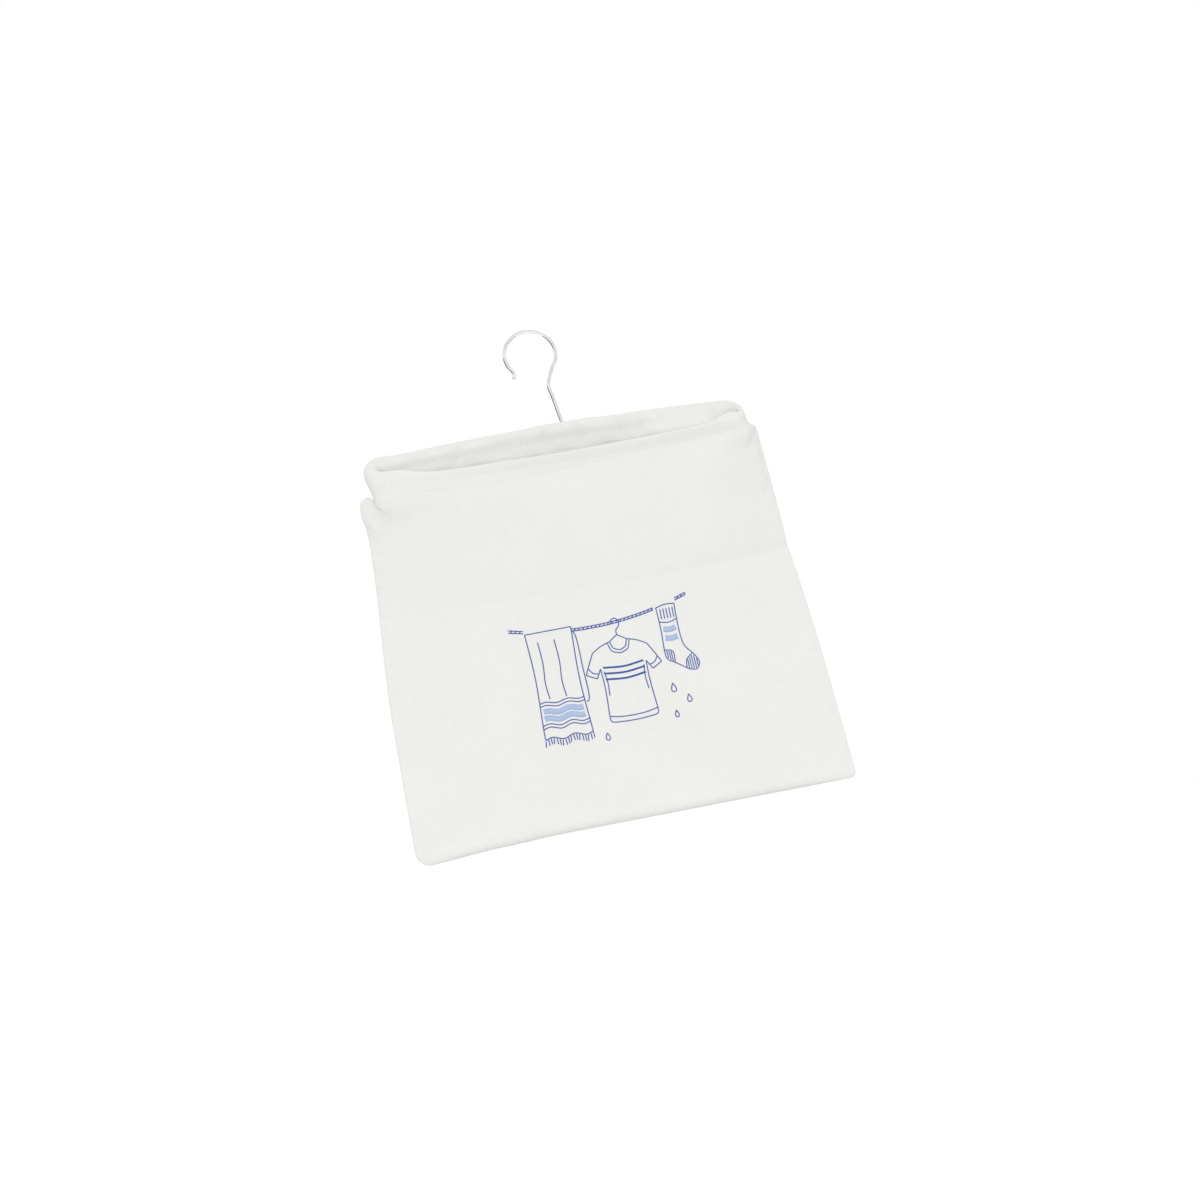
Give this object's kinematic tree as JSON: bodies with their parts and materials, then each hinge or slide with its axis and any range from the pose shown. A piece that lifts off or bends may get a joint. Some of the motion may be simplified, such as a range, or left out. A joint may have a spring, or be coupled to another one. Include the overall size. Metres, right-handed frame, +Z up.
{
  "type": "peg bag",
  "caption": "Flat cotton peg bag with its mouth held open by an oval wire ring in a cloth band, hung from a swivelling wire hook.",
  "frame": {"origin": "saddle of the hook: the inside of the loop's top, where a rail or line lies", "axes": "+Z up as the bag hangs, -Y towards the printed front, +X to the right as seen from the front"},
  "size_m": [0.3276, 0.0273, 0.4071],
  "materials": {
    "chromed_wire": "bright",
    "zinc_plated_steel": "dull plated",
    "cotton": "plain weave"
  },
  "bodies": {
    "hook": {"hook": "chromed_wire"},
    "bag": {"mouth_frame": "zinc_plated_steel", "frame_sleeve": "zinc_plated_steel", "mouth_band": "cotton", "front_panel": "cotton", "back_panel": "cotton"}
  },
  "joints": [
    {"name": "hook_swivel", "type": "hinge", "parent": "hook", "child": "bag", "pos_m": [0.013, 0, -0.088], "axis": [0, 0, 1], "continuous": true}
  ]
}
